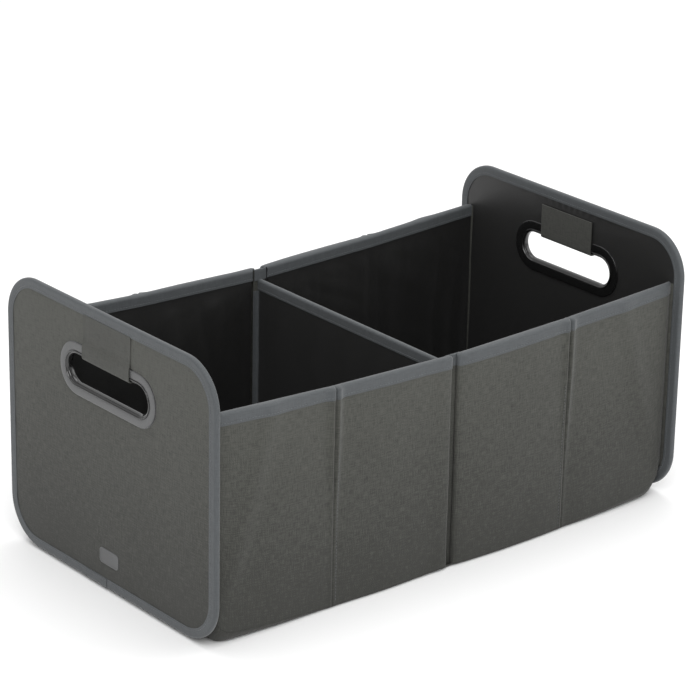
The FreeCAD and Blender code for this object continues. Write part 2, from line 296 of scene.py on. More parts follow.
# %% [markdown]
# ## The finishes
# Three functions make all the finishes: the woven cloths, dark olive outside and on the straps and
# smooth black inside; the ribbed blue-grey tape; and the plain ones, which are the satin grommet with
# its glossy black throat, the pale thread, the loop tape and the black boards. The shader keeps its
# own constants, and only what changes over the surface is linked.

# %% Material helpers


def new_material(name, color, roughness, **constants):
    material = bpy.data.materials.new(name)
    material.use_nodes = True
    shader = material.node_tree.nodes["Principled BSDF"]
    shader.inputs["Base Color"].default_value = (*color, 1)
    shader.inputs["Roughness"].default_value = roughness
    for socket, value in constants.items():
        shader.inputs[socket.replace("_", " ")].default_value = value
    return material, material.node_tree, shader


def add_group(tree, group, **values):
    node = tree.nodes.new("ShaderNodeGroup")
    node.node_tree = group
    for socket, value in values.items():
        node.inputs[socket].default_value = value
    return node


def coordinate(tree, kind):
    return tree.nodes.new("ShaderNodeTexCoord").outputs[kind]


def add_bump(tree, shader, height, strength, distance):
    bump = tree.nodes.new("ShaderNodeBump")
    bump.inputs["Strength"].default_value = strength
    bump.inputs["Distance"].default_value = distance
    link(tree, height, bump.inputs["Height"])
    link(tree, bump.outputs[0], shader.inputs["Normal"])


def color_between(tree, shader, factor, dark, light):
    """Base colour that goes from dark to light with a factor."""
    ramp = tree.nodes.new("ShaderNodeValToRGB")
    ramp.color_ramp.elements[0].position, ramp.color_ramp.elements[1].position = 0.25, 0.75
    ramp.color_ramp.elements[0].color = (*dark, 1)
    ramp.color_ramp.elements[1].color = (*light, 1)
    link(tree, factor, ramp.inputs[0])
    link(tree, ramp.outputs[0], shader.inputs["Base Color"])


# %% Woven cloths
STREAK_CONTRAST, THREAD_CONTRAST, CLOUD_CONTRAST = 1.6, 0.12, 0.18
# Painted shade on the woven cloths: their colour darkens steadily lower down.
LOW_SHADE_SLOPE, LOW_SHADE_OFFSET = 1.9, 0.72
BUMP_STRENGTH = 0.6


def make_cloth(name, dark, light, roughness, threads, relief, sheen):
    """A woven cloth: thread height, streaky yarn and blotches, mixed into colour and bump, with painted shade
    that darkens the colour lower down.
    """
    material, tree, shader = new_material(name, light, roughness, Sheen_Weight=sheen, Sheen_Roughness=0.5)
    uv = coordinate(tree, "UV")
    weave = add_group(tree, WEAVE, Across=threads, Along=threads)
    yarn = add_group(tree, YARN)
    blotches = add_group(tree, BLOTCHES, Size=9.0)
    link(tree, uv, weave.inputs["UV"])
    link(tree, uv, yarn.inputs["UV"])
    link(tree, coordinate(tree, "Object"), blotches.inputs["Place"])
    # Painted shade: the colour gets darker lower down, in place of the shade near the floor.
    rise = times(tree, separate(tree, coordinate(tree, "Object"))["Z"], LOW_SHADE_SLOPE)
    painted_low_shade = math_node(tree, "SUBTRACT", rise, LOW_SHADE_OFFSET)
    streaks = plus(tree, times(tree, yarn.outputs["Tone"], STREAK_CONTRAST), painted_low_shade)
    threads_seen = times(tree, weave.outputs["Height"], THREAD_CONTRAST)
    clouds = times(tree, blotches.outputs["Large"], CLOUD_CONTRAST)
    color_between(tree, shader, plus(tree, plus(tree, streaks, threads_seen), clouds), dark, light)
    add_bump(tree, shader, plus(tree, weave.outputs["Height"], yarn.outputs["Tone"]), BUMP_STRENGTH, relief)
    return material


OLIVE = ((0.0205, 0.0208, 0.0172), (0.055, 0.056, 0.0475))
STRAP_OLIVE = ((0.019, 0.0193, 0.0163), (0.045, 0.0458, 0.0395))
BLACK = ((0.002, 0.002, 0.002), (0.0062, 0.006, 0.0056))
OUTER_CLOTH = make_cloth("outer_cloth", *OLIVE, 0.86, 1300, 0.18 * MM, 0.12)
STRAP_CLOTH = make_cloth("strap_cloth", *STRAP_OLIVE, 0.86, 1300, 0.18 * MM, 0.12)
LINING_CLOTH = make_cloth("lining_cloth", *BLACK, 0.46, 2400, 0.06 * MM, 0.1)

# %% Ribbed tape
RIBS_PER_METRE, RIB_CONTRAST = 900, 0.22


def make_tape(name, dark, light):
    """Grosgrain: fine ribs across the tape, which runs along U, with the thread's streaks."""
    material, tree, shader = new_material(name, light, 0.72, Sheen_Weight=0.25, Sheen_Roughness=0.4)
    uv = coordinate(tree, "UV")
    turns = times(tree, separate(tree, uv)["X"], 2 * math.pi * RIBS_PER_METRE)
    ribs = plus(tree, times(tree, math_node(tree, "SINE", turns), 0.5), 0.5)
    yarn = add_group(tree, YARN)
    link(tree, uv, yarn.inputs["UV"])
    streaks = times(tree, yarn.outputs["Tone"], 1 - RIB_CONTRAST)
    color_between(tree, shader, plus(tree, times(tree, ribs, RIB_CONTRAST), streaks), dark, light)
    add_bump(tree, shader, plus(tree, ribs, yarn.outputs["Tone"]), BUMP_STRENGTH, 0.12 * MM)
    return material


TAPE = make_tape("binding_tape", (0.041, 0.0455, 0.049), (0.074, 0.081, 0.086))

# %% Moulded and other finishes
GLOSS_SPREAD = 0.16


def make_moulding(name, color, roughness, grain, **constants):
    """Moulded plastic with a fine grain and an uneven gloss."""
    material, tree, shader = new_material(name, color, roughness, **constants)
    blotches = add_group(tree, BLOTCHES, Size=30.0)
    link(tree, coordinate(tree, "Object"), blotches.inputs["Place"])
    spread = times(tree, blotches.outputs["Large"], GLOSS_SPREAD)
    link(tree, plus(tree, spread, roughness - GLOSS_SPREAD / 2), shader.inputs["Roughness"])
    dark, light = ([share * part for part in color] for share in (0.9, 1.08))
    color_between(tree, shader, blotches.outputs["Small"], dark, light)
    add_bump(tree, shader, blotches.outputs["Small"], 0.4, grain)
    return material


GROMMET = make_moulding("grommet_plastic", (0.085, 0.086, 0.087), 0.42, 0.00004)
THROAT = make_moulding("throat_plastic", (0.008, 0.008, 0.008), 0.2, 0.00001, Coat_Weight=0.4)
BOARD = make_moulding("stiffener_board", (0.012, 0.012, 0.012), 0.55, 0.00006)
THREAD = make_moulding("sewing_thread", (0.093, 0.1, 0.107), 0.7, 0.00005, Sheen_Weight=0.3)
LOOP_TAPE = make_moulding("loop_tape", (0.012, 0.012, 0.012), 0.95, 0.0005, Sheen_Weight=0.5)
for node in frame["nodes"].values():
    node.data.materials.clear()
    node.data.materials.append(BOARD)
print("finishes", len(bpy.data.materials), "groups", len(bpy.data.node_groups))

# %% [markdown]
# ## Making a sheet of cloth
# Cloth is easiest to place as a flat grid whose points are then carried onto a surface. A grid is
# added, each of its points is moved by a function of how far along and how far across it lies, and
# the UV map is scaled to metres, so that the weave keeps its real size. Solidify then gives it the
# thickness of real cloth, away from the side that shows.

# %% Pieces: select, shade, modify and edit
MERGE_DISTANCE = 0.005 * MM
SMOOTH_ANGLE = math.radians(50)
made = []


def deselect():
    bpy.ops.object.select_all(action="DESELECT")


def activate(piece):
    """Select one piece alone and make it the active one, as an operator needs."""
    deselect()
    piece.select_set(True)
    bpy.context.view_layer.objects.active = piece


def finish_piece(piece, material):
    """Smooth shading and a material, and the piece is added to the list of made pieces."""
    activate(piece)
    bpy.ops.object.shade_smooth_by_angle(angle=SMOOTH_ANGLE)
    piece.data.materials.clear()
    piece.data.materials.append(material)
    made.append(piece)
    return piece


def apply_modifier(piece, kind, **values):
    activate(piece)
    modifier = piece.modifiers.new(kind.title(), kind)
    for name, value in values.items():
        setattr(modifier, name, value)
    bpy.ops.object.modifier_apply(modifier=modifier.name)


def soften(piece, width, segments, **values):
    """Round every sharp edge of a piece."""
    apply_modifier(piece, "BEVEL", width=width, segments=segments, limit_method="ANGLE", **values)


def edit(piece, *operations):
    """Run edit-mode operators on all of a piece."""
    activate(piece)
    bpy.ops.object.mode_set(mode="EDIT")
    bpy.ops.mesh.select_all(action="SELECT")
    for operation in operations:
        operation()
    bpy.ops.object.mode_set(mode="OBJECT")


def edit_chosen(piece, kind, chosen, *operations):
    """Run edit-mode operators on the edges or the faces of a piece that are chosen in code."""
    activate(piece)
    bpy.ops.object.mode_set(mode="EDIT")
    bpy.ops.mesh.select_mode(type=kind)
    bpy.ops.mesh.select_all(action="DESELECT")
    bpy.ops.object.mode_set(mode="OBJECT")
    for item in piece.data.edges if kind == "EDGE" else piece.data.polygons:
        item.select = chosen(item)
    bpy.ops.object.mode_set(mode="EDIT")
    for operation in operations:
        operation()
    bpy.ops.mesh.select_mode(type="VERT")
    bpy.ops.object.mode_set(mode="OBJECT")


def bevel_edges(piece, chosen, width, segments):
    """Round the straight edges of a piece whose two end points are chosen."""

    def is_chosen(edge):
        return chosen(*(piece.data.vertices[index].co for index in edge.vertices))

    edit_chosen(piece, "EDGE", is_chosen, lambda: bpy.ops.mesh.bevel(offset=width, segments=segments))


def block(name, middle, size):
    """A box at its place and size, to be shaped further."""
    deselect()
    bpy.ops.mesh.primitive_cube_add(size=1, location=middle)
    piece = bpy.context.object
    piece.name = piece.data.name = name
    bpy.ops.transform.resize(value=size)
    bpy.ops.object.transform_apply(location=True, rotation=False, scale=True)
    return piece


# %% Sheets: grid, cloth and declaration


def grid(name, columns, rows, shape):
    """A flat grid carried onto shape(along, across), each from 0 to 1."""
    deselect()
    bpy.ops.mesh.primitive_grid_add(x_subdivisions=columns, y_subdivisions=rows, size=1, calc_uvs=True)
    piece = bpy.context.object
    piece.name = piece.data.name = name
    for vertex in piece.data.vertices:
        vertex.co = shape(vertex.co.x + 0.5, vertex.co.y + 0.5)
    return piece


def cloth(name, columns, rows, size, shape, facing, thickness, closed=False):
    """A sheet of cloth: a grid with a thickness, whose UV map is its size in metres.

    Facing is where the first face of the grid looks, and the thickness is laid behind it. A closed
    sheet is one whose ends meet, so that its doubled points are merged.
    """
    piece = grid(name, columns, rows, shape)
    for corner in piece.data.uv_layers[0].data:
        corner.uv = (corner.uv[0] * size[0], corner.uv[1] * size[1])
    piece.data.update()
    if piece.data.polygons[0].normal.dot(Vector(facing)) < 0:
        edit(piece, bpy.ops.mesh.flip_normals)
    if closed:
        edit(piece, lambda: bpy.ops.mesh.remove_doubles(threshold=MERGE_DISTANCE))
    apply_modifier(piece, "SOLIDIFY", thickness=thickness, offset=-1)
    return piece


def map_by_place(piece, lay):
    """A UV map in metres from the place of each point of a piece."""
    for loop in piece.data.loops:
        piece.data.uv_layers[0].data[loop.index].uv = lay(piece.data.vertices[loop.vertex_index].co)


def finish_sheet(piece, material, slot_name, bodies, replaced=(), **soft):
    finish_piece(piece, material)
    if isinstance(bodies, str):
        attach(piece, bodies)
    else:
        first, second, start, end = bodies
        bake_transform(piece)
        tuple(start)
        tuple(end)
    if replaced:
        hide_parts(*replaced)
    return piece


# %% Soft shapes: steps, swells and hills


def smooth(start, end, value):
    """0 before start, 1 after end, and a smooth step between them."""
    share = min(1.0, max(0.0, (value - start) / (end - start)))
    return share * share * (3 - 2 * share)


def ripple(x, y, z, scale, height):
    """A soft uneven swell, so that no cloth lies perfectly flat."""
    return height * noise.noise(Vector((x, y, z)) / scale)


def hill(distance, width):
    return math.exp(-(distance / width) ** 2)


# %% [markdown]
# ## Thread
# A stitch is a tiny round-ended dash. One is modelled from a sphere, and each row is that dash copied
# along a line of places, so that hundreds of stitches cost little.

# %% Stitch rows
STITCH_PITCH = 3.4 * MM


def make_stitch():
    deselect()
    bpy.ops.mesh.primitive_uv_sphere_add(segments=6, ring_count=4, radius=1)
    bpy.ops.transform.resize(value=(0.28 * MM, 0.2 * MM, 1.25 * MM))
    bpy.ops.transform.rotate(value=math.pi / 2, orient_axis="Y", center_override=(0, 0, 0))
    bpy.ops.object.transform_apply(location=False, rotation=True, scale=True)
    stitch = bpy.context.object
    stitch.name = "stitch_pattern"
    return stitch


def stitch_row(name, places):
    """Stitches at (place, direction, outward) triples, joined into one piece."""
    pattern = make_stitch()
    points = [vertex.co.copy() for vertex in pattern.data.vertices]
    faces = [tuple(face.vertices) for face in pattern.data.polygons]
    vertices, polygons = [], []
    for place, direction, outward in places:
        along, up = direction.normalized(), outward.normalized()
        side = up.cross(along)
        start = len(vertices)
        vertices += [place + along * point.x + side * point.y + up * point.z for point in points]
        polygons += [tuple(start + index for index in face) for face in faces]
    bpy.data.objects.remove(pattern)
    mesh = bpy.data.meshes.new(name)
    mesh.from_pydata(vertices, [], polygons)
    piece = bpy.data.objects.new(name, mesh)
    bpy.context.scene.collection.objects.link(piece)
    return finish_piece(piece, THREAD)


def along_line(start, end, outward, pitch=STITCH_PITCH):
    """Stitch places on a straight line."""
    span = end - start
    count = int(span.length / pitch)
    return [(start + span * (index + 0.5) / count, span, outward) for index in range(count)]


# %% [markdown]
# ## The outline of an end panel
# The rim of an end panel is a rectangle with round corners, and its tape and its stitches all run
# round it, nearer to or further from the edge. One function gives the point at a share of the way
# round, and one gives where a line from the hand hole meets the rim, for the cloth between them.

# %% Round the rim, and out to it
SIDE_LEVEL, SIDE_UPRIGHT = 2 * (HALF_WIDTH - CORNER), RIM_TOP - RIM_FOOT - 2 * CORNER
ROUND = CORNER * math.pi / 2
PERIMETER = 2 * (SIDE_LEVEL + SIDE_UPRIGHT) + 4 * ROUND


def rim(share, inset):
    """Place (y, z) and outward direction, starting at the bottom middle and going towards +Y."""
    distance = (share % 1) * PERIMETER + SIDE_LEVEL / 2
    low, high = RIM_FOOT + CORNER, RIM_TOP - CORNER
    reach = HALF_WIDTH - CORNER
    sides = [(SIDE_LEVEL, (-reach, low), (1, 0), (0, -1)), (SIDE_UPRIGHT, (reach, low), (0, 1), (1, 0)),
             (SIDE_LEVEL, (reach, high), (-1, 0), (0, 1)), (SIDE_UPRIGHT, (-reach, high), (0, -1), (-1, 0))]
    distance %= PERIMETER
    for length, start, ahead, outward in sides:
        if distance <= length:
            place = [start[axis] + ahead[axis] * distance + outward[axis] * (CORNER - inset)
                     for axis in (0, 1)]
            return place, outward, ahead
        distance -= length
        centre = [start[axis] + ahead[axis] * length for axis in (0, 1)]
        if distance <= ROUND:
            turn = distance / CORNER
            outward = [outward[axis] * math.cos(turn) + ahead[axis] * math.sin(turn) for axis in (0, 1)]
            ahead = (-outward[1], outward[0])
            return [centre[axis] + outward[axis] * (CORNER - inset) for axis in (0, 1)], outward, ahead
        distance -= ROUND
    return rim(0, inset)


def reach_rim(angle, inset):
    """Distance from the middle of the hand hole to the inset rim at an angle."""
    across, up = math.cos(angle), math.sin(angle)
    low, high = RIM_FOOT + inset - GRIP.z, RIM_TOP - inset - GRIP.z
    half, radius = HALF_WIDTH - inset, CORNER - inset
    distance = min(half / max(abs(across), 1e-6), (high if up > 0 else -low) / max(abs(up), 1e-6))
    centre = Vector((math.copysign(half - radius, across), (high - radius) if up > 0 else (low + radius)))
    end = Vector((across, up)) * distance
    past_side = abs(end.x) > abs(centre.x)
    past_level = end.y > centre.y if up > 0 else end.y < centre.y
    if past_side and past_level:
        ray = Vector((across, up))
        middle = ray.dot(centre)
        distance = middle + math.sqrt(max(0, middle ** 2 - centre.length_squared + radius ** 2))
    return distance


def reach_slot(angle, half, radius):
    """Distance from the middle of a slot with round ends to its edge at an angle."""
    across, up = abs(math.cos(angle)), abs(math.sin(angle))
    straight = half - radius
    if up > 1e-9 and radius / up * across <= straight:
        return radius / up
    middle = across * straight
    return middle + math.sqrt(max(0, middle ** 2 - straight ** 2 + radius ** 2))


def slot(share, radius):
    """Place (y, z), from the middle of the hand hole, on a slot drawn at a radius round its spine."""
    straight = 2 * (HOLE_HALF - HOLE_RADIUS)
    arc = math.pi * HOLE_RADIUS
    distance = (share % 1) * 2 * (straight + arc)
    if distance < straight:
        return (distance - straight / 2, -radius)
    distance -= straight
    if distance < arc:
        turn = distance / HOLE_RADIUS - math.pi / 2
        return (straight / 2 + radius * math.cos(turn), radius * math.sin(turn))
    distance -= arc
    if distance < straight:
        return (straight / 2 - distance, radius)
    turn = (distance - straight) / HOLE_RADIUS + math.pi / 2
    return (-straight / 2 + radius * math.cos(turn), radius * math.sin(turn))


# %% [markdown]
# ## End panels
# Each end panel is a board between an outer cloth and a lining. The cloths are rings: their inner edge
# is tucked under the grommet and their outer edge under the tape. Stretched over a board, cloth still
# swells a little and puckers where the tape is sewn down.

# %% Cloth on both faces of an end panel
ENDS = (("left", -1), ("right", 1))
WALLS = (("front", -1), ("back", 1))
TAPE_INSET = 10 * MM
TUCK = 4 * MM


def face_cloth(name, face_x, outward, material, slot_name, body, replaced):
    """A ring of cloth from under the grommet to under the tape."""

    def shape(along, across):
        angle = along * 2 * math.pi
        near = reach_slot(angle, HOLE_HALF + TUCK, HOLE_RADIUS + TUCK)
        far = reach_rim(angle, TUCK)
        distance = near + (far - near) * across
        y, z = GRIP.y + distance * math.cos(angle), GRIP.z + distance * math.sin(angle)
        from_rim, from_hole = far - distance, distance - near
        lift = 0.5 * MM * smooth(4 * MM, 40 * MM, from_rim) * smooth(0, 30 * MM, from_hole)
        lift += ripple(y + 3 * outward, z, 7 * outward, 0.05, 0.35 * MM) * smooth(0, 20 * MM, from_hole)
        pucker = 0.16 * MM * math.sin(angle * 40) * hill(from_rim - 7 * MM, 5 * MM)
        return Vector((face_x + outward * (0.1 * MM + max(lift, -0.05 * MM) + pucker), y, z))

    piece = cloth(name, 224, 34, (1, 1), shape, (outward, 0, 0), 0.6 * MM, closed=True)
    map_by_place(piece, lambda place: place.yz)
    finish_sheet(piece, material, slot_name, body, [replaced],
                 flat=(2 * HALF_WIDTH, RIM_TOP - RIM_FOOT), held="stretched", rests_on=[body + "_board"])


for side, sign in ENDS:
    end = side + "_end"
    face_cloth(end + "_cloth", sign * END_OUT, sign, OUTER_CLOTH, "outer_cloth", end, end + "_cover")
    face_cloth(end + "_inside", sign * END_IN, -sign, LINING_CLOTH, "lining_cloth", end, end + "_lining")
print("end panel cloths", len(made))

# %% [markdown]
# ## Tape round the rim
# The tape is folded over the edge of the panel and sewn through. Its section is a U with rounded
# shoulders, carried round the rim. A short lap covers where its ends meet at the bottom.

# %% Tape, lap and stitches of an end panel
SHOULDER = 2.2 * MM
RIM_THICK = RIM_OUT - RIM_IN
LAP_START, LAP_END, LAP_PROUD = 0.004, 0.034, 0.45 * MM


def folded_section(across, depth, thick):
    """Depth below the edge and share through it, 1 outside to 0 inside, of a tape over an edge."""
    bend = min(SHOULDER, thick / 2 - 0.1 * MM)
    flat, turn_run, top = depth - bend, bend * math.pi / 2, thick - 2 * bend
    distance = across * (2 * flat + 2 * turn_run + top)
    if distance <= flat:
        return depth - distance, 1.0
    if distance <= flat + turn_run:
        turn = (distance - flat) / bend
        return bend * (1 - math.sin(turn)), 1 - bend * (1 - math.cos(turn)) / thick
    if distance <= flat + turn_run + top:
        return 0.0, 1 - (bend + distance - flat - turn_run) / thick
    if distance <= flat + 2 * turn_run + top:
        turn = (distance - flat - turn_run - top) / bend
        return bend * (1 - math.cos(turn)), bend * (1 - math.sin(turn)) / thick
    return bend + distance - flat - 2 * turn_run - top, 0.0


def rim_tape(name, sign, start, end, depth, proud, columns, closed):
    """Tape folded over the rim between two shares of the way round, and its flat size."""

    def shape(along, across):
        inset, through = folded_section(across, depth, RIM_THICK)
        (y, z), outward, ahead = rim(start + (end - start) * along, inset)
        flutter = ripple(y, z, sign + inset, 0.007, 0.14 * MM) * smooth(0, 3 * MM, inset)
        lift = (flutter + proud) * (1 if through > 0.5 else -1) * smooth(0, 1 * MM, inset)
        push = 0.4 * proud * (1 - smooth(0, 3 * MM, inset))
        x = RIM_IN + RIM_THICK * through + lift
        return Vector((sign * x, y + outward[0] * push, z + outward[1] * push))

    width = 2 * depth + RIM_THICK - SHOULDER
    length = PERIMETER * (end - start)
    piece = cloth(name, columns, 22, (length, width), shape, (sign, 0, 0), 0.55 * MM, closed)
    return piece, (width, length)


for side, sign in ENDS:
    end = side + "_end"
    tape, flat = rim_tape(end + "_tape", sign, 0, 1, TAPE_INSET, 0, 300, True)
    finish_sheet(tape, TAPE, "binding_tape", end, [end + "_binding"],
                 flat=flat, held="folded", rests_on=[end + "_board"])
    lap_depth = TAPE_INSET - 0.4 * MM
    lap, flat = rim_tape(end + "_tape_lap", sign, LAP_START, LAP_END, lap_depth, LAP_PROUD, 24, False)
    finish_sheet(lap, TAPE, "binding_tape", end, flat=flat, held="folded", rests_on=[tape])
    rows = []
    count = int(PERIMETER / STITCH_PITCH)
    for face, look in ((RIM_OUT, sign), (RIM_IN, -sign)):
        for index in range(count):
            share = index / count
            (y, z), outward, ahead = rim(share, 7.6 * MM)
            lift = 0.05 * MM + (LAP_PROUD if LAP_START < share < LAP_END else 0)
            place = Vector((sign * face + look * lift, y, z))
            rows.append((place, Vector((0, *ahead)), Vector((look, 0, 0))))
    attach(stitch_row(end + "_tape_stitches", rows), end)
print("tape round one rim", round(PERIMETER, 3), "m,", count, "stitches a face")

# %% [markdown]
# ## Grommets
# A moulded grommet lines each hand hole: a satin ring, and a glossy black throat that rolls through
# the panel. Under the ring lies a thin black seat, a little wider than it, which paints the shadow gap
# round the ring's outer edge. Each is a closed section carried round the slot, so one function makes
# them all from the points of their sections.

# %% Sections round the hand hole
ARC_STEPS = 6
ARC = [math.pi * step / ARC_STEPS for step in range(ARC_STEPS + 1)]


def slot_ring(name, section, material, sign, steps=120):
    """A closed section of (distance from the edge of the hole, place along X) carried round the slot."""
    count = len(section)

    def shape(along, across):
        offset, x = section[round(across * count) % count]
        y, z = slot(along, HOLE_RADIUS + offset)
        return Vector((sign * x, GRIP.y + y, GRIP.z + z))

    piece = grid(name, steps, count, shape)
    edit(piece, lambda: bpy.ops.mesh.remove_doubles(threshold=MERGE_DISTANCE),
         lambda: bpy.ops.mesh.normals_make_consistent(inside=False))
    soften(piece, 0.35 * MM, 2, angle_limit=math.radians(35))
    return finish_piece(piece, material)


def ring_section(near, far, low, high, crown):
    """A flat ring with a crowned face and soft edges."""
    top = [(near + (far - near) * turn / math.pi, high + crown * math.sin(turn)) for turn in ARC]
    return [(near, low)] + top + [(far, low)]


def throat_section(inner, outer, bulge):
    """A wall through the hole whose two ends roll outward over the rings."""
    lip = [(3.2 * MM - 0.8 * bulge * math.cos(turn), bulge * math.sin(turn)) for turn in ARC]
    outer_lip = [(offset, outer + rise) for offset, rise in reversed(lip)]
    inner_lip = [(offset, inner - rise) for offset, rise in lip]
    inside = [(0.9 * MM, outer - 0.5 * MM), (0.1 * MM, (outer + inner) / 2), (0.9 * MM, inner + 0.5 * MM)]
    behind = 2.4 * MM + 0.9 * bulge
    return outer_lip + inside + inner_lip + [(behind, inner + 0.4 * MM), (behind, outer - 0.4 * MM)]


GROMMET_PARTS = (
    # The black seat is wider than the ring, to paint the shadow gap round the ring's outer edge.
    ("shadow_seat", ring_section(1.5 * MM, FLANGE, END_OUT - 0.3 * MM, END_OUT + 0.5 * MM, 0), THROAT, None),
    ("ring", ring_section(4 * MM, FLANGE - 1 * MM, END_OUT, END_OUT + 1.4 * MM, 0.3 * MM), GROMMET, "outer"),
    ("back", ring_section(4 * MM, FLANGE, END_IN, END_IN - 1.3 * MM, -0.2 * MM), THROAT, "inner"),
    ("throat", throat_section(END_IN - 1.2 * MM, END_OUT + 1.2 * MM, 1.1 * MM), THROAT, None))
for side, sign in ENDS:
    for name, section, material, stands_for in GROMMET_PARTS:
        part = slot_ring(side + "_end_grommet_" + name, section, material, sign)
        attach(part, side + "_end")
        if stands_for:
            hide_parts(side + "_grommet_" + stands_for)
print("hand hole", round(2 * HOLE_HALF / MM), "x", round(2 * HOLE_RADIUS / MM), "mm")

# %% [markdown]
# ## The strap over the grip
# A doubled band of the outer cloth is sewn in under the tape at the top, lies over the grommet, goes
# in through the hand hole and up the inside, where hook tape holds it. It is one piece of cloth that
# follows a line in the X-Z plane.

# %% Strap and the tapes that hold it


def polyline(points, radius, steps=5):
    """Points with every inner corner rounded, for the line that a band follows."""
    line = [Vector(points[0])]
    for before, corner, after in zip(points, points[1:], points[2:]):
        before, corner, after = Vector(before), Vector(corner), Vector(after)
        reach = min(radius, (corner - before).length * 0.45, (after - corner).length * 0.45)
        start = corner + (before - corner).normalized() * reach
        end = corner + (after - corner).normalized() * reach
        for step in range(steps + 1):
            share = step / steps
            line.append(start.lerp(corner, share).lerp(corner.lerp(end, share), share))
    return line + [Vector(points[-1])]


def measured(line):
    """The distance along a line at each of its points."""
    run = [0.0]
    for first, second in zip(line, line[1:]):
        run.append(run[-1] + (second - first).length)
    return run


def at_share(line, run, share):
    distance = share * run[-1]
    for index in range(len(run) - 1):
        if distance <= run[index + 1] or index == len(run) - 2:
            part = (distance - run[index]) / max(run[index + 1] - run[index], 1e-9)
            return line[index].lerp(line[index + 1], part)
    return line[-1]


TAIL_IN, TAIL_OUT = (corner.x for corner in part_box("right_strap_tail"))
TAIL_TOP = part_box("right_strap_tail")[1].z
HOLE_TOP = GRIP.z + HOLE_RADIUS
PATCH_LENGTH, PATCH_HEIGHT = 64 * MM, 18 * MM
STRAP_ROUTE = [
    (END_OUT + 1.1 * MM, RIM_TOP - TAPE_INSET + 0.6 * MM), (END_OUT + 1.3 * MM, HOLE_TOP + FLANGE + 6 * MM),
    (END_OUT + 3.2 * MM, HOLE_TOP + FLANGE - 1 * MM), (END_OUT + 3.2 * MM, HOLE_TOP + 1 * MM),
    (END_OUT + 1.5 * MM, HOLE_TOP - 1.4 * MM), (TAIL_IN + 1.5 * MM, HOLE_TOP - 1.4 * MM),
    (TAIL_IN - 0.1 * MM, HOLE_TOP + 1 * MM), (TAIL_IN - 0.1 * MM, TAIL_TOP)]
STRAP_LINE = polyline(STRAP_ROUTE, 3 * MM)
STRAP_RUN = measured(STRAP_LINE)


def end_strap(side, sign):
    """The strap of one end panel, fixed down to the hole and loose beyond it."""
    end = side + "_end"

    def shape(along, across):
        spot = at_share(STRAP_LINE, STRAP_RUN, along)
        y = (across - 0.5) * 2 * STRAP_HALF
        slack = smooth(0.05, 0.2, along) * (1 - smooth(0.45, 0.5, along))
        wave = ripple(y, along * STRAP_RUN[-1], sign * 2, 0.03, 0.5 * MM) * slack
        hem = 0.25 * MM * hill(STRAP_HALF - abs(y) - 4 * MM, 1.5 * MM)
        outside = 1 - smooth(0.45, 0.55, along)
        return Vector((sign * (spot.x + (wave - hem) * outside), y, spot.y))

    size = (STRAP_RUN[-1], 2 * STRAP_HALF)
    strap = cloth(end + "_strap", 110, 30, size, shape, (sign, 0, 0), 1.1 * MM)
    start, finish = ((sign * (TAIL_IN + past), 0, HOLE_TOP) for past in (2.4 * MM, 1.2 * MM))
    return finish_sheet(strap, STRAP_CLOTH, "strap_cloth", (end, side + "_strap", start, finish),
                        [side + "_strap_wrap", side + "_strap_tail"],
                        flat=size[::-1], held="folded", rests_on=[end + "_grommet_ring"])


def strap_patch(name, sign, face, thickness, body, replaced, under):
    """Hook or loop tape, on the strap's loose end or on the lining behind it."""
    low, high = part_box(("left" if sign < 0 else "right") + "_loop_patch")

    def shape(along, across):
        y = low.y + 5 * MM + (high.y - low.y - 10 * MM) * along
        z = low.z + 1 * MM + (high.z - low.z - 2 * MM) * across
        return Vector((sign * face, y, z))

    size = (PATCH_LENGTH, PATCH_HEIGHT)
    patch = cloth(name, 40, 12, size, shape, (-sign, 0, 0), thickness)
    finish_sheet(patch, LOOP_TAPE, "loop_tape", body, replaced, flat=size, held="laid", rests_on=[under])


for side, sign in ENDS:
    end = side + "_end"
    strap = end_strap(side, sign)
    loop_patch = side + "_loop_patch"
    strap_patch(loop_patch, sign, END_IN - 1 * MM, 0.9 * MM, end, [loop_patch], end + "_inside")
    strap_patch(side + "_hook_patch", sign, TAIL_OUT + 0.5 * MM, 0.5 * MM, side + "_strap", (), strap)
print("strap", round(STRAP_RUN[-1], 3), "m long,", round(2 * STRAP_HALF, 3), "m wide")

# %% [markdown]
# ## Walls
# A half wall is two boards with one outer cloth, one lining and one tape along the top, and each of
# these is a single sheet across both boards. Over the fold line the cloth is drawn in to a groove, wide
# at the top and tight where it is stitched lower down, and beside the divider it rolls in to a deep
# valley. All of it is drawn for the back wall's right half and mirrored.

# %% The outer face of a wall
END_RISE, END_ROUND = 13 * MM, 22 * MM
WALL_END = END_IN - 1.0 * MM
LIP, LIP_RADIUS = 7.3 * MM, 3.2 * MM
SLIGHT_BOW, FULL_BOW = (1.6 * MM, 0.8), (3.2 * MM, 0.55)
GROOVE_DEPTH, GROOVE_DEEPER = 0.8 * MM, 3.9 * MM
GROOVE_WIDTH, GROOVE_WIDER = 1.1 * MM, 0.9 * MM
BOARD_END = HINGE - 0.5 * MM


def wall_bottom(x):
    """Lower edge of a wall without its round corner: level by the divider, rising to the end panel."""
    return WALL_FOOT + (END_RISE - WALL_FOOT) * max(0, min(x, BOARD_END) - FOLD) / (BOARD_END - FOLD)


def corner_rise(x):
    """How far the round lower corner of a wall stands above that edge."""
    across = max(0, min(x, BOARD_END) - BOARD_END + END_ROUND)
    return END_ROUND - math.sqrt(max(0, END_ROUND ** 2 - across ** 2))


def wall_top(x):
    """Upper edge of a wall, lowest beside the divider and highest at the end panel."""
    near = WALL_TOP + (FOLD_TOP - WALL_TOP) * max(0, min(x, FOLD) - POST) / (FOLD - POST)
    return near + (END_TOP - FOLD_TOP) * max(0, min(x, BOARD_END) - FOLD) / (BOARD_END - FOLD)


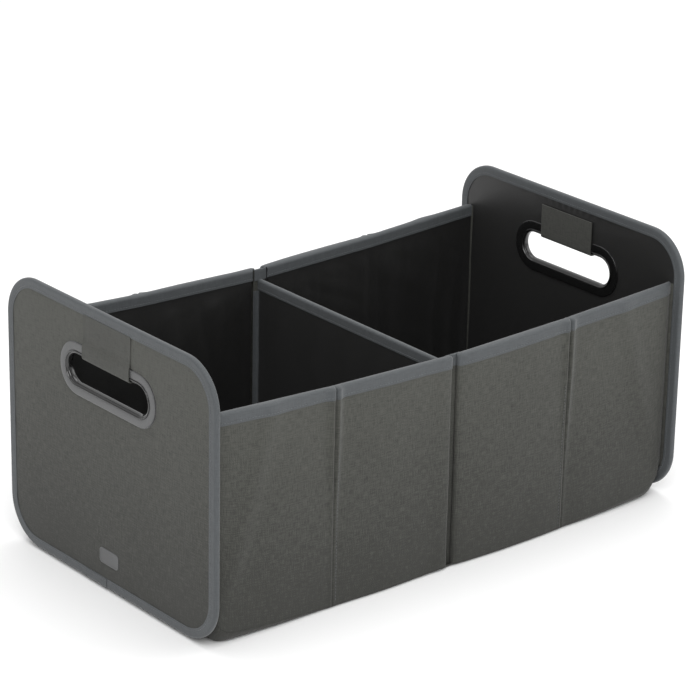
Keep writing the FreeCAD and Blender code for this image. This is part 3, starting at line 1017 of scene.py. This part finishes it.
def wall_face(x, z, seed, proud):
    """How far out the cloth lies on a wall, from its place along the wall and its height."""
    near, far = (LIP, FOLD) if x < FOLD else (FOLD, WALL_END)
    share = (x - near) / (far - near)
    bow_height, bow_edge = FULL_BOW if seed > 0 and x < FOLD else SLIGHT_BOW
    bow = bow_height * math.sin(math.pi * share) ** bow_edge if 0 < share < 1 else 0
    open_top = smooth(50 * MM, 200 * MM, z)
    depth = GROOVE_DEPTH + GROOVE_DEEPER * open_top
    width = GROOVE_WIDTH + GROOVE_WIDER * open_top
    from_fold = x - FOLD
    groove = depth * (hill(from_fold, 3.2 * width) - hill(from_fold, width))
    calm = 1 - hill(from_fold, 12 * MM)
    swell = ripple(x, z, seed, 0.075, 0.9 * MM) * calm + ripple(x, z, seed + 9, 0.028, 0.3 * MM) * calm
    tuck = 1.8 * MM * hill(x - 268 * MM + 0.3 * (z - 60 * MM), 12 * MM) * smooth(20 * MM, 90 * MM, z)
    tuck -= 2.6 * MM * hill(x - WALL_END, 3.5 * MM)
    lip = proud * hill(x - LIP, 16 * MM)
    return WALL_OUT + 0.75 * MM + bow + groove + max(swell, -0.5 * MM) + tuck + lip


def wall_path(distance, z, seed, proud):
    """Plan place and outward direction of the cloth, from the end panel to inside the valley."""
    straight = WALL_END - LIP
    if distance <= straight:
        x = WALL_END - distance
        step = 0.4 * MM
        slope = (wall_face(x + step, z, seed, proud) - wall_face(x - step, z, seed, proud)) / (2 * step)
        return Vector((x, wall_face(x, z, seed, proud))), Vector((-slope, 1)).normalized()
    face = wall_face(LIP, z, seed, proud)
    turn = min((distance - straight) / LIP_RADIUS, math.pi / 2)
    past = max(0, distance - straight - LIP_RADIUS * math.pi / 2)
    outward = Vector((-math.sin(turn), math.cos(turn)))
    centre = Vector((LIP, face - LIP_RADIUS))
    return centre + outward * LIP_RADIUS + Vector((0, -past)), outward


ROLL = LIP_RADIUS * math.pi / 2 + 0.5 * MM
WALL_RUN = WALL_END - LIP + ROLL


COLUMNS = 150
CROWDING_STEPS = 3000


def crowded():
    """Distances along a wall, closer together at the fold and at the lip."""
    total, places = 0.0, []
    for index in range(CROWDING_STEPS + 1):
        distance = WALL_RUN * index / CROWDING_STEPS
        x = WALL_END - distance
        places.append((total, distance))
        total += 1 + 5 * hill(x - FOLD, 9 * MM) + 5 * hill(x - LIP + 2 * MM, 7 * MM)
    found, at = [], 0
    for column in range(COLUMNS + 1):
        wanted = places[-1][0] * column / COLUMNS
        while at < CROWDING_STEPS and places[at + 1][0] < wanted:
            at += 1
        found.append(places[min(at + (places[at][0] < wanted), CROWDING_STEPS)][1])
    found[0], found[-1] = 0.0, WALL_RUN
    return found


SPREAD = crowded()


def wall_distance(along):
    return SPREAD[min(COLUMNS, max(0, round(along * COLUMNS)))]


def lay_along_wall(piece, height):
    """Scale a sheet's UV map from its grid to distances along the wall and up it, in metres."""
    for corner in piece.data.uv_layers[0].data:
        corner.uv = (wall_distance(corner.uv[0]), corner.uv[1] * height)


# %% Outer cloths, linings and tapes of the walls
TAPE_DEEP = 12 * MM
LINING_START, LINING_END = POST + 1.6 * MM, END_IN - 1.3 * MM
WALL_THICK = WALL_OUT - WALL_IN
TOP_GAP = 2 * MM
FOLD_REACH = 3.2 * MM


def wall_shapes(sign, wall_sign):
    """The outer cloth, the lining and the tape of a half wall, as functions that share its swells."""
    seed = sign * 3 + wall_sign
    proud = (1.6 if sign < 0 else 0.2) * MM
    mirror = Vector((sign, wall_sign, 1))

    def outer(along, across):
        distance = wall_distance(along)
        x = max(WALL_END - distance, LIP)
        low = wall_bottom(x) + corner_rise(x)
        z = low + (wall_top(x) - TOP_GAP - low) * across
        place, outward = wall_path(distance, z, seed, proud)
        return Vector((place.x, place.y, z)) * mirror

    def lining(along, across):
        x = LINING_START + (LINING_END - LINING_START) * along
        low = wall_bottom(x) + corner_rise(x) + 0.3 * MM
        z = low + (wall_top(x) - TOP_GAP - low) * across
        loose = (1 - hill(x - FOLD, 8 * MM)) * smooth(LINING_START, LINING_START + 14 * MM, x)
        loose *= 1 - smooth(wall_top(x) - 32 * MM, wall_top(x) - 14 * MM, z)
        loose *= smooth(END_IN, END_IN - 16 * MM, x)
        crease = 2.0 * MM * abs(noise.noise(Vector((x / 0.026, z / 0.1, seed * 1.7))))
        crease += 1.3 * MM * abs(noise.noise(Vector((x / 0.05 + z / 0.03, z / 0.05, seed))))
        return Vector((x, WALL_IN - 0.1 * MM - min(crease, 2.4 * MM) * loose, z)) * mirror

    def tape_spot(distance, drop, through, lift):
        place, outward = wall_path(distance, WALL_TOP - 6 * MM, seed, proud)
        x = max(place.x, POST + 0.7 * MM)
        inside = Vector((x, WALL_IN - 0.75 * MM - lift * 0.6))
        spot = inside.lerp(place + outward * lift, through)
        flutter = ripple(distance, drop, seed + 4, 0.009, 0.12 * MM) * (1 if through > 0.5 else -1)
        return Vector((spot.x, spot.y + flutter, wall_top(x) - drop)) * mirror

    def tape(along, across):
        drop, through = folded_section(across, TAPE_DEEP, WALL_THICK + 2 * MM)
        return tape_spot(wall_distance(along), drop, through, 0.5 * MM)

    def fold_stitch(z):
        x = FOLD - 4.2 * MM
        return Vector((x, wall_face(x, z, seed, proud) + 0.05 * MM, z)) * mirror

    return outer, lining, tape, tape_spot, fold_stitch


def wall_seams(wall_sign, tape_spot, fold_stitch):
    """Stitches along both faces of the top tape, and up beside the fold."""
    seams = []
    count = int((WALL_END - LIP) / STITCH_PITCH)
    for through, look in ((1.0, wall_sign), (0.0, -wall_sign)):
        for index in range(count):
            distance = (index + 0.5) * (WALL_END - LIP) / count
            before, after = (tape_spot(distance + step, 9.6 * MM, through, 0.55 * MM)
                             for step in (-0.6 * MM, 0.6 * MM))
            if (after - before).length > 0.1 * MM:
                seams.append(((before + after) / 2, after - before, Vector((0, look, 0))))
    for index in range(int(150 * MM / STITCH_PITCH)):
        place = fold_stitch(WALL_FOOT + 6 * MM + index * STITCH_PITCH)
        seams.append((place, Vector((0, 0, 1)), Vector((0, wall_sign, 0))))
    return seams


def half_wall(name, sign, wall_sign):
    """One outer cloth, lining, tape and set of stitches, each across both boards of a half wall."""
    inner, outer = name + "_inner", name + "_outer"
    outer_shape, lining_shape, tape_shape, tape_spot, fold_stitch = wall_shapes(sign, wall_sign)
    start, finish = ((sign * (FOLD + reach), wall_sign * WALL_OUT, 0) for reach in (-FOLD_REACH, FOLD_REACH))
    bend = (inner, outer, start, finish)
    boards = [inner + "_board", outer + "_board"]

    piece = cloth(name + "_cloth", COLUMNS, 64, (1, 1), outer_shape, (0, wall_sign, 0), 0.55 * MM)
    lay_along_wall(piece, WALL_TOP)
    finish_sheet(piece, OUTER_CLOTH, "outer_cloth", bend, [inner + "_cover", outer + "_cover"],
                 flat=(WALL_TOP, WALL_RUN), held="stretched", rests_on=boards)

    run = LINING_END - LINING_START
    piece = cloth(name + "_lining", 120, 60, (run, WALL_TOP), lining_shape, (0, -wall_sign, 0), 0.4 * MM)
    finish_sheet(piece, LINING_CLOTH, "lining_cloth", bend, [inner + "_lining", outer + "_lining"],
                 flat=(WALL_TOP, run), held="stretched", rests_on=boards)

    width = 2 * TAPE_DEEP + WALL_THICK
    piece = cloth(name + "_tape", COLUMNS, 20, (1, 1), tape_shape, (0, wall_sign, 0), 0.5 * MM)
    lay_along_wall(piece, width)
    finish_sheet(piece, TAPE, "binding_tape", bend, [inner + "_binding", outer + "_binding"],
                 flat=(width, WALL_RUN), held="folded", rests_on=[name + "_cloth", name + "_lining"])

    stitches = stitch_row(name + "_stitches", wall_seams(wall_sign, tape_spot, fold_stitch))
    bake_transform(stitches)
    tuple(start)
    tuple(finish)


for side, sign in ENDS:
    for wall, wall_sign in WALLS:
        half_wall(side + "_" + wall, sign, wall_sign)
print("wall cloth", round(WALL_RUN, 3), "m along,", len(made), "pieces so far")

# %% [markdown]
# ## The middle: valley strips and divider
# The divider is a board in one lining folded over its top, with tape along that edge. It is sewn to a
# strip in each wall, at the bottom of the valley between the two halves, with a flat tape inside.

# %% Valley strips and their tape
STRIP_WIDTH = 14.8 * MM
STRIP_THICK = 3 * MM


def valley_strip(wall, wall_sign):
    low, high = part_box(wall + "_centre_strip")
    depth = max(abs(low.y), abs(high.y))

    def shape(along, across):
        x = (along - 0.5) * STRIP_WIDTH
        z = low.z + 0.4 * MM + (high.z - low.z - 1.6 * MM) * across
        sag = 0.5 * MM * hill(x, 3 * MM) + ripple(x, z, wall_sign, 0.02, 0.3 * MM)
        return Vector((x, wall_sign * (depth - abs(sag)), z))

    strip = cloth(wall + "_valley_strip", 16, 60, (STRIP_WIDTH, high.z), shape, (0, wall_sign, 0), 0.7 * MM)
    finish_sheet(strip, OUTER_CLOTH, "outer_cloth", "root", [wall + "_centre_strip"],
                 flat=(STRIP_WIDTH, high.z - low.z), held="stretched", rests_on=["divider_board"])

    def cap_shape(along, across):
        drop, through = folded_section(across, TAPE_DEEP, STRIP_THICK)
        y = depth - 2.4 * MM + STRIP_THICK * through
        return Vector(((along - 0.5) * STRIP_WIDTH, wall_sign * y, WALL_TOP - 0.3 * MM - drop))

    width = 2 * TAPE_DEEP + STRIP_THICK
    cap = cloth(wall + "_valley_tape", 16, 18, (STRIP_WIDTH, width), cap_shape, (0, wall_sign, 0), 0.5 * MM)
    finish_sheet(cap, TAPE, "binding_tape", "root",
                 flat=(width, STRIP_WIDTH), held="folded", rests_on=[strip])


for wall, wall_sign in WALLS:
    valley_strip(wall, wall_sign)
print("valley strips", round(STRIP_WIDTH / MM, 1), "mm wide")

# %% Divider cloth, tape and flanges
DIVIDER_WIDE = 2 * DIVIDER_HALF
DIVIDER_TAPE_DEEP = 11 * MM
FLANGE_FOOT, FLANGE_TOP = 20 * MM, DIVIDER_TOP - 12 * MM


def divider_shape(along, across):
    y = (along - 0.5) * 2 * (DIVIDER_HALF - 0.3 * MM)
    top = DIVIDER_TOP - 0.9 * MM
    drop, through = folded_section(across, top - 1.4 * MM, 2 * DIVIDER_FACE)
    wave = abs(ripple(y, drop, 5 * through, 0.06, 0.7 * MM)) * smooth(0, 20 * MM, drop)
    x = (through - 0.5) * 2 * DIVIDER_FACE
    return Vector((x + math.copysign(wave, x), y, top - drop))


size = (DIVIDER_WIDE, 2 * DIVIDER_TOP)
divider_cloth = cloth("divider_cloth", 70, 90, size, divider_shape, (1, 0, 0), 0.5 * MM)
finish_sheet(divider_cloth, LINING_CLOTH, "lining_cloth", "root",
             ["divider_left_lining", "divider_right_lining"],
             flat=size, held="folded", rests_on=["divider_board"])


def divider_tape_shape(along, across):
    y = (along - 0.5) * 2 * (DIVIDER_HALF - 0.2 * MM)
    thick = 2 * DIVIDER_FACE + 1.2 * MM
    drop, through = folded_section(across, DIVIDER_TAPE_DEEP, thick)
    wave = ripple(y, drop, 2, 0.009, 0.12 * MM)
    return Vector(((through - 0.5) * thick + wave, y, DIVIDER_TOP - drop))


width = 2 * DIVIDER_TAPE_DEEP + 2 * DIVIDER_FACE
tape = cloth("divider_tape", 110, 20, (DIVIDER_WIDE, width), divider_tape_shape, (1, 0, 0), 0.5 * MM)
finish_sheet(tape, TAPE, "binding_tape", "root", ["divider_binding"],
             flat=(width, DIVIDER_WIDE), held="folded", rests_on=[divider_cloth])
seams = []
for look in (-1, 1):
    start, finish = (Vector((look * (DIVIDER_FACE + 0.65 * MM), y, DIVIDER_TOP - 9 * MM))
                     for y in (-DIVIDER_HALF, DIVIDER_HALF))
    seams += along_line(start, finish, Vector((look, 0, 0)))
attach(stitch_row("divider_stitches", seams), "root")


def divider_flange(name, sign, wall_sign):
    """The flat tape that sews the end of the divider to the wall, on one side of it."""
    width, corner = 7.6 * MM, 2.1 * MM

    def shape(along, across):
        run = width * across
        x = DIVIDER_FACE + 0.5 * MM + max(0, run - corner)
        back = max(0, corner - run) + 0.7 * MM * hill(run - corner, 1.2 * MM)
        z = FLANGE_FOOT + (FLANGE_TOP - FLANGE_FOOT) * along
        return Vector((sign * x, wall_sign * (DIVIDER_HALF - 0.3 * MM - back), z))

    length = FLANGE_TOP - FLANGE_FOOT
    flange = cloth(name, 60, 14, (length, width), shape, (0, -wall_sign, 0), 0.5 * MM)
    finish_sheet(flange, TAPE, "binding_tape", "root",
                 flat=(10 * MM, length), held="stretched", rests_on=[divider_cloth])


for side, sign in ENDS:
    for wall, wall_sign in WALLS:
        divider_flange(side + "_" + wall + "_divider_flange", sign, wall_sign)
print("divider", round(DIVIDER_WIDE, 3), "m wide,", round(DIVIDER_TOP, 3), "m tall")

# %% [markdown]
# ## The bottom: floor cloth and base boards
# The floor cloth is a shallow pan. Its sides turn up round the lower edges of the walls, and its far
# end rises to the seam on the end panel, which is set in from the rim. A stiff base board in black
# cloth lies in each pan and lifts out of the way, hinged at the foot of the divider.

# %% Floor pans
PAN_START, PAN_END = 274.5 * MM, END_IN - 0.2 * MM
SEAM_INSET = HALF_WIDTH - WALL_OUT
SIDE_SHARE = 0.8


def pan_shape_for(sign):
    def shape(along, across):
        x = PAN_END * along
        floor = (SEAM_INSET + RIM_FOOT) * smooth(PAN_START, PAN_END, x)
        rise = corner_rise(x)
        upright = max(wall_bottom(x) + rise - floor, 2 * MM)
        level = min(upright + 1 * MM, 12 * MM)
        wall_sign = 1 if across > 0.5 else -1
        low = wall_bottom(x) + rise
        face = wall_face(max(x, LIP), low, sign * 3 + wall_sign, 0) - 0.65 * MM
        place = abs(across - 0.5) * 2
        if place > SIDE_SHARE:
            up = (place - SIDE_SHARE) / (1 - SIDE_SHARE)
            turn = up * math.pi / 2
            y = face - rise * (1 - up) - level + level * math.sin(turn)
            z = floor + upright * (1 - math.cos(turn))
        else:
            y, z = (face - rise - level) * place / SIDE_SHARE, floor
        return Vector((sign * x, wall_sign * y, z))

    return shape


for side, sign in ENDS:
    pan = cloth(side + "_floor_pan", 110, 90, (1, 1), pan_shape_for(sign), (0, -1, 0), 0.6 * MM)
    map_by_place(pan, lambda place: (place.x, place.y + place.z))
    finish_piece(pan, OUTER_CLOTH)
    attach(pan, "root")
    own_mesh(pan)
    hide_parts(side + "_floor_cloth")

# %% Base boards
TOUCHING = 0.01 * MM
BOARD_STITCH_INSET, BOARD_STITCH_START = 6 * MM, 25 * MM


def base_board(side, sign):
    low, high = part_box(side + "_base_board")
    board = block(side + "_base_cover", (low + high) / 2, high - low)
    far = high.x if sign > 0 else low.x

    def is_far_corner(first, second):
        upright = (first.xy - second.xy).length < TOUCHING
        return upright and abs(first.x - far) < TOUCHING

    bevel_edges(board, is_far_corner, 22 * MM, 12)
    soften(board, 0.7 * MM, 3)
    map_by_place(board, lambda place: place.xy)
    finish_piece(board, LINING_CLOTH)
    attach(board, side + "_base")
    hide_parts(side + "_base_board")
    seams = []
    for y in (low.y + BOARD_STITCH_INSET, high.y - BOARD_STITCH_INSET):
        start, finish = (Vector((x, y, high.z - 0.2 * MM))
                         for x in (low.x + BOARD_STITCH_START, high.x - BOARD_STITCH_START))
        seams += along_line(start, finish, Vector((0, 0, 1)))
    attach(stitch_row(side + "_base_stitches", seams), side + "_base")


for side, sign in ENDS:
    base_board(side, sign)
print("base boards, rounded at the end panels, with", len(made), "pieces so far")

# %% [markdown]
# ## Seams and labels on the end panels
# Each wall meets its end panel in an upright seam, covered by a narrow roll of cloth that stays on the
# panel while the wall turns away from it. A plain pressed label marks the outside of each end.

# %% Seam rolls and labels
LABEL_SIZE = (1.2 * MM, 30 * MM, 16 * MM)
LABEL_HEIGHT = 36 * MM


def seam_roll(name, sign, wall_sign, body):
    middle, half = (WALL_IN + WALL_OUT) / 2, WALL_THICK / 2 + 1.9 * MM
    low, high = wall_bottom(BOARD_END) + corner_rise(BOARD_END) - 3 * MM, wall_top(BOARD_END) - 1 * MM

    def shape(along, across):
        turn = math.pi * across
        x = END_IN - 0.95 * MM * math.sin(turn) - 0.05 * MM
        return Vector((sign * x, wall_sign * (middle + half * math.cos(turn)), low + (high - low) * along))

    width = 10 * MM
    roll = cloth(name, 50, 10, (WALL_TOP, width), shape, (-sign, 0, 0), 0.3 * MM)
    finish_sheet(roll, OUTER_CLOTH, "outer_cloth", body,
                 flat=(width, wall_top(BOARD_END) - END_ROUND), held="stretched", rests_on=[body + "_inside"])


def label(end, sign):
    tag = block(end + "_label", Vector((sign * (END_OUT + 0.5 * MM), 0, LABEL_HEIGHT)), LABEL_SIZE)
    bevel_edges(tag, lambda first, second: abs(first.x - second.x) > 0.5 * MM, 4 * MM, 6)
    edit_chosen(tag, "FACE", lambda face: face.normal.x * sign > 0.9,
                lambda: bpy.ops.mesh.inset(thickness=1.1 * MM, depth=0),
                lambda: bpy.ops.mesh.inset(thickness=0.4 * MM, depth=-0.35 * MM))
    soften(tag, 0.12 * MM, 2)
    finish_piece(tag, GROMMET)
    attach(tag, end)


for side, sign in ENDS:
    end = side + "_end"
    for wall, wall_sign in WALLS:
        seam_roll(side + "_" + wall + "_seam_roll", sign, wall_sign, end)
    label(end, sign)
print("pieces made", len(made))
